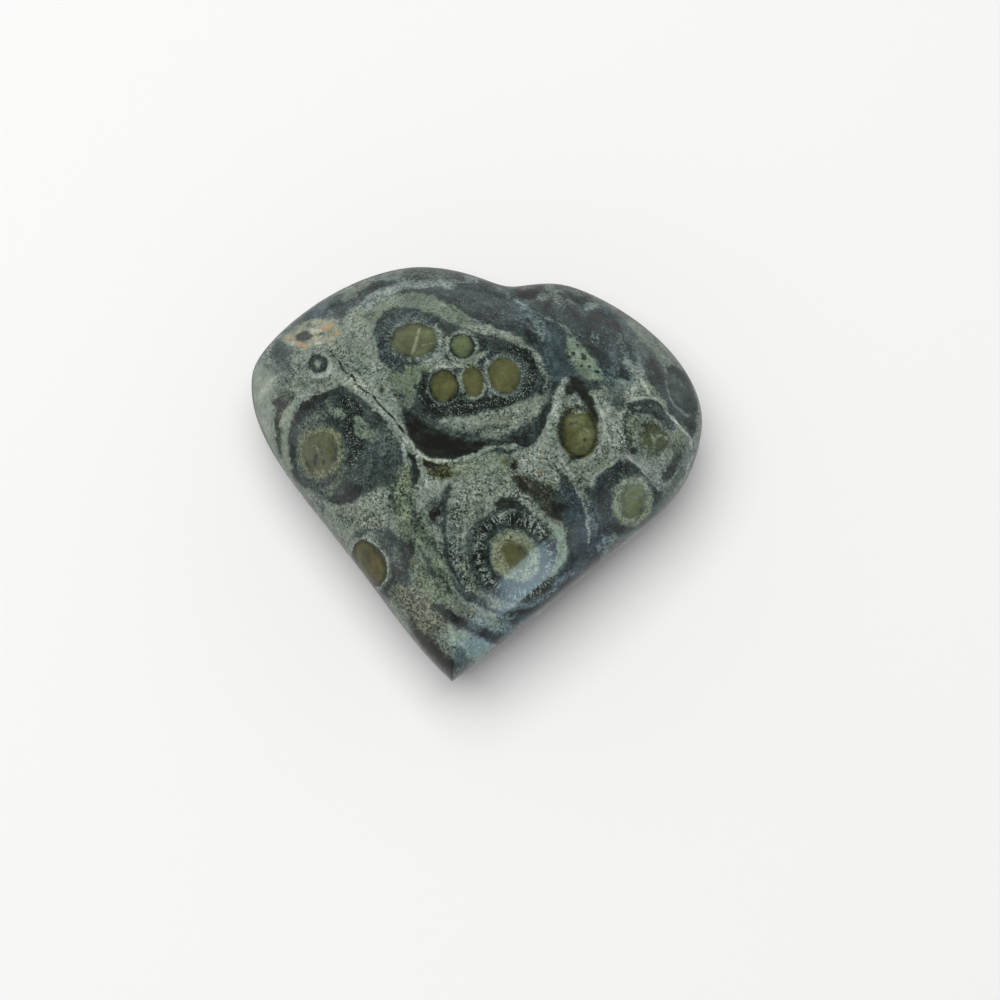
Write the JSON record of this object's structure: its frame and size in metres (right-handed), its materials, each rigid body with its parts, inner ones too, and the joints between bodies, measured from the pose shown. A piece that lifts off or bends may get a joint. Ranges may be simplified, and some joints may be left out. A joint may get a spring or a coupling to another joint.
{
  "type": "kambaba jasper heart",
  "caption": "Polished heart-shaped stone with a domed face, ringed green eyes and a small flat spot under it to rest on.",
  "frame": {"origin": "middle of the stone's box seen from above, on the plane of the flat spot under it", "axes": "+Z out of the domed face, +Y from the tip to the notch, +X across the heart to the right as seen from its face"},
  "size_m": [0.0714, 0.0662, 0.026],
  "materials": {
    "polished_jasper": "glossy hand polish on dark green-grey orbicular stone"
  },
  "bodies": {
    "root": {"heart": "polished_jasper"}
  },
  "joints": []
}
